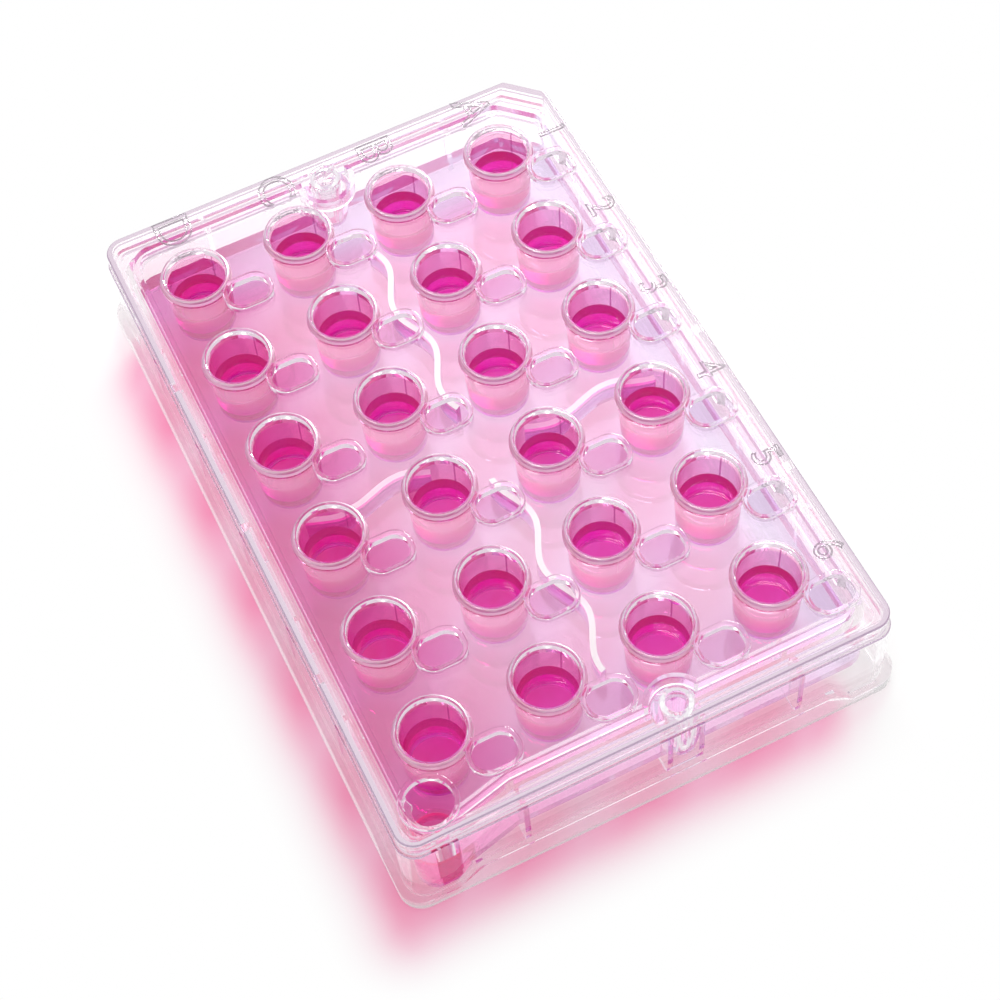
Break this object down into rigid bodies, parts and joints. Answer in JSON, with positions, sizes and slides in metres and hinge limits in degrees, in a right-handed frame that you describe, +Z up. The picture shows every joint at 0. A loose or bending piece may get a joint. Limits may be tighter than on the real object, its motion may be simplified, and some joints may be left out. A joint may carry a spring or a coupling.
{
  "type": "well plate",
  "caption": "Clear plate of hanging membrane wells with access holes, seated on a shallow rectangular feeder tray, both holding pink culture medium.",
  "frame": {"origin": "middle of the footprint on the plane the tray stands on", "axes": "+Z up; +X along the long side, from column 1 to column 6; +Y along the short side, towards row A; the cut corner is at -X, +Y"},
  "size_m": [0.1278, 0.0854, 0.0205],
  "materials": {
    "clear_tray": "clear gloss",
    "clear_insert": "clear gloss",
    "membrane": "thin translucent film",
    "tray_medium": "clear pink liquid",
    "well_medium": "clear deep pink liquid"
  },
  "bodies": {
    "root": {"feeder_tray": "clear_tray", "insert_plate": "clear_insert", "tray_medium": "tray_medium", "membrane_A1": "membrane", "well_medium_A1": "well_medium", "membrane_A2": "membrane", "well_medium_A2": "well_medium", "membrane_A3": "membrane", "well_medium_A3": "well_medium", "membrane_A4": "membrane", "well_medium_A4": "well_medium", "membrane_A5": "membrane", "well_medium_A5": "well_medium", "membrane_A6": "membrane", "well_medium_A6": "well_medium", "membrane_B1": "membrane", "well_medium_B1": "well_medium", "membrane_B2": "membrane", "well_medium_B2": "well_medium", "membrane_B3": "membrane", "well_medium_B3": "well_medium", "membrane_B4": "membrane", "well_medium_B4": "well_medium", "membrane_B5": "membrane", "well_medium_B5": "well_medium", "membrane_B6": "membrane", "well_medium_B6": "well_medium", "membrane_C1": "membrane", "well_medium_C1": "well_medium", "membrane_C2": "membrane", "well_medium_C2": "well_medium", "membrane_C3": "membrane", "well_medium_C3": "well_medium", "membrane_C4": "membrane", "well_medium_C4": "well_medium", "membrane_C5": "membrane", "well_medium_C5": "well_medium", "membrane_C6": "membrane", "well_medium_C6": "well_medium", "membrane_D1": "membrane", "well_medium_D1": "well_medium", "membrane_D2": "membrane", "well_medium_D2": "well_medium", "membrane_D3": "membrane", "well_medium_D3": "well_medium", "membrane_D4": "membrane", "well_medium_D4": "well_medium", "membrane_D5": "membrane", "well_medium_D5": "well_medium", "membrane_D6": "membrane", "well_medium_D6": "well_medium"}
  },
  "joints": []
}
